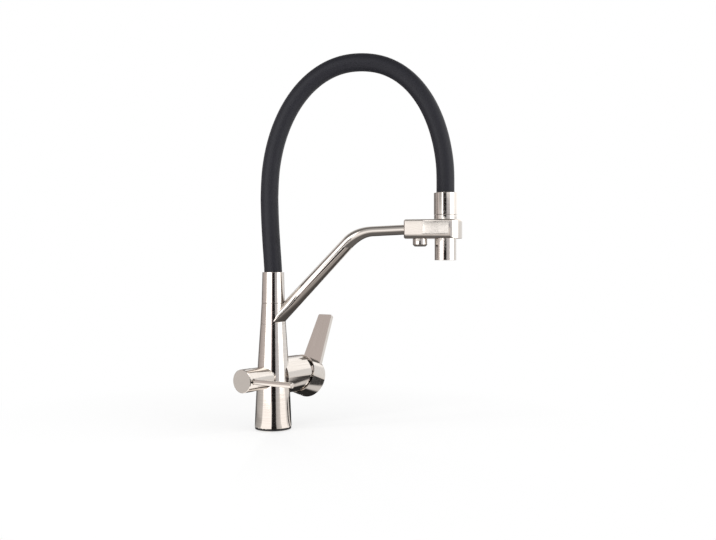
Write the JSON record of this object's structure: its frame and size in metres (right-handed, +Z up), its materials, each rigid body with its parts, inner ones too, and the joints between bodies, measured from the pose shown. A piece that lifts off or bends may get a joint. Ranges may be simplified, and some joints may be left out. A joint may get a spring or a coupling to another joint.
{
  "type": "three way filtered water tap",
  "caption": "Deck-mounted kitchen tap with mixer lever, filtered water knob, swivel arm, black arched hose and lift-out spray head, in brushed nickel.",
  "frame": {"origin": "centre of the base on the worktop", "axes": "+Z up along the column, +X along the spout arm at rest"},
  "size_m": [0.3016, 0.2007, 0.5079],
  "materials": {
    "brushed_nickel": "brushed nickel plate",
    "brass": "turned",
    "steel": "plain stainless",
    "black_hose": "smooth satin",
    "black_rubber": "matt",
    "ceramic": "lapped",
    "white_plastic": "moulded",
    "grey_plastic": "moulded"
  },
  "bodies": {
    "tap_body": {"column_shell": "brushed_nickel", "base_gasket": "black_rubber", "base_insert": "brass", "hot_inlet": "brass", "cold_inlet": "brass", "filter_inlet": "brass", "cartridge_seal": "black_rubber", "cartridge_housing": "white_plastic", "fixed_ceramic_disc": "ceramic", "cartridge_nut": "brass", "filter_valve": "brass", "riser_spigot": "brass", "lower_o_ring": "black_rubber", "upper_o_ring": "black_rubber", "swivel_washer": "white_plastic"},
    "spout": {"swivel_arm": "brushed_nickel", "swivel_keeper_screw": "steel", "hose_socket": "brushed_nickel", "hose_tail": "brass", "hose": "black_hose", "holder": "brushed_nickel", "dock_liner": "grey_plastic", "filter_nozzle": "brushed_nickel", "filter_aerator": "grey_plastic"},
    "spray_head": {"spray_body": "brushed_nickel", "spray_aerator": "grey_plastic", "check_valve": "white_plastic", "hose_ferrule": "brushed_nickel", "spray_tail": "brass"},
    "mixer_carrier": {"cartridge_carrier": "grey_plastic", "turning_ceramic_disc": "ceramic", "tilt_pin": "steel"},
    "mixer_lever": {"mixer_handle": "brushed_nickel", "lever_stem": "brass", "handle_grub_screw": "steel"},
    "filter_handle": {"filter_knob": "brushed_nickel", "filter_lever_pin": "brushed_nickel", "filter_spindle": "brass", "knob_grub_screw": "steel"}
  },
  "joints": [
    {"name": "spout_swivel", "type": "hinge", "parent": "tap_body", "child": "spout", "pos_m": [0, 0, 0.142], "axis": [0, 0, 1], "continuous": true},
    {"name": "spray_lift", "type": "slide", "parent": "spout", "child": "spray_head", "axis": [0, 0, 1], "range_m": [0, 0.06], "deforming": ["hose"]},
    {"name": "mixer_temperature", "type": "hinge", "parent": "tap_body", "child": "mixer_carrier", "pos_m": [0.02756, 0.0441, 0.07], "axis": [0.5299, 0.848, 0], "range_deg": [-45, 45]},
    {"name": "mixer_tilt", "type": "hinge", "parent": "mixer_carrier", "child": "mixer_lever", "pos_m": [0.02756, 0.0441, 0.07], "axis": [0.848, -0.5299, 0], "range_deg": [0, 20]},
    {"name": "filter_turn", "type": "hinge", "parent": "tap_body", "child": "filter_handle", "pos_m": [-0.02955, -0.04729, 0.07], "axis": [0.5299, 0.848, 0], "range_deg": [-90, 0]}
  ]
}
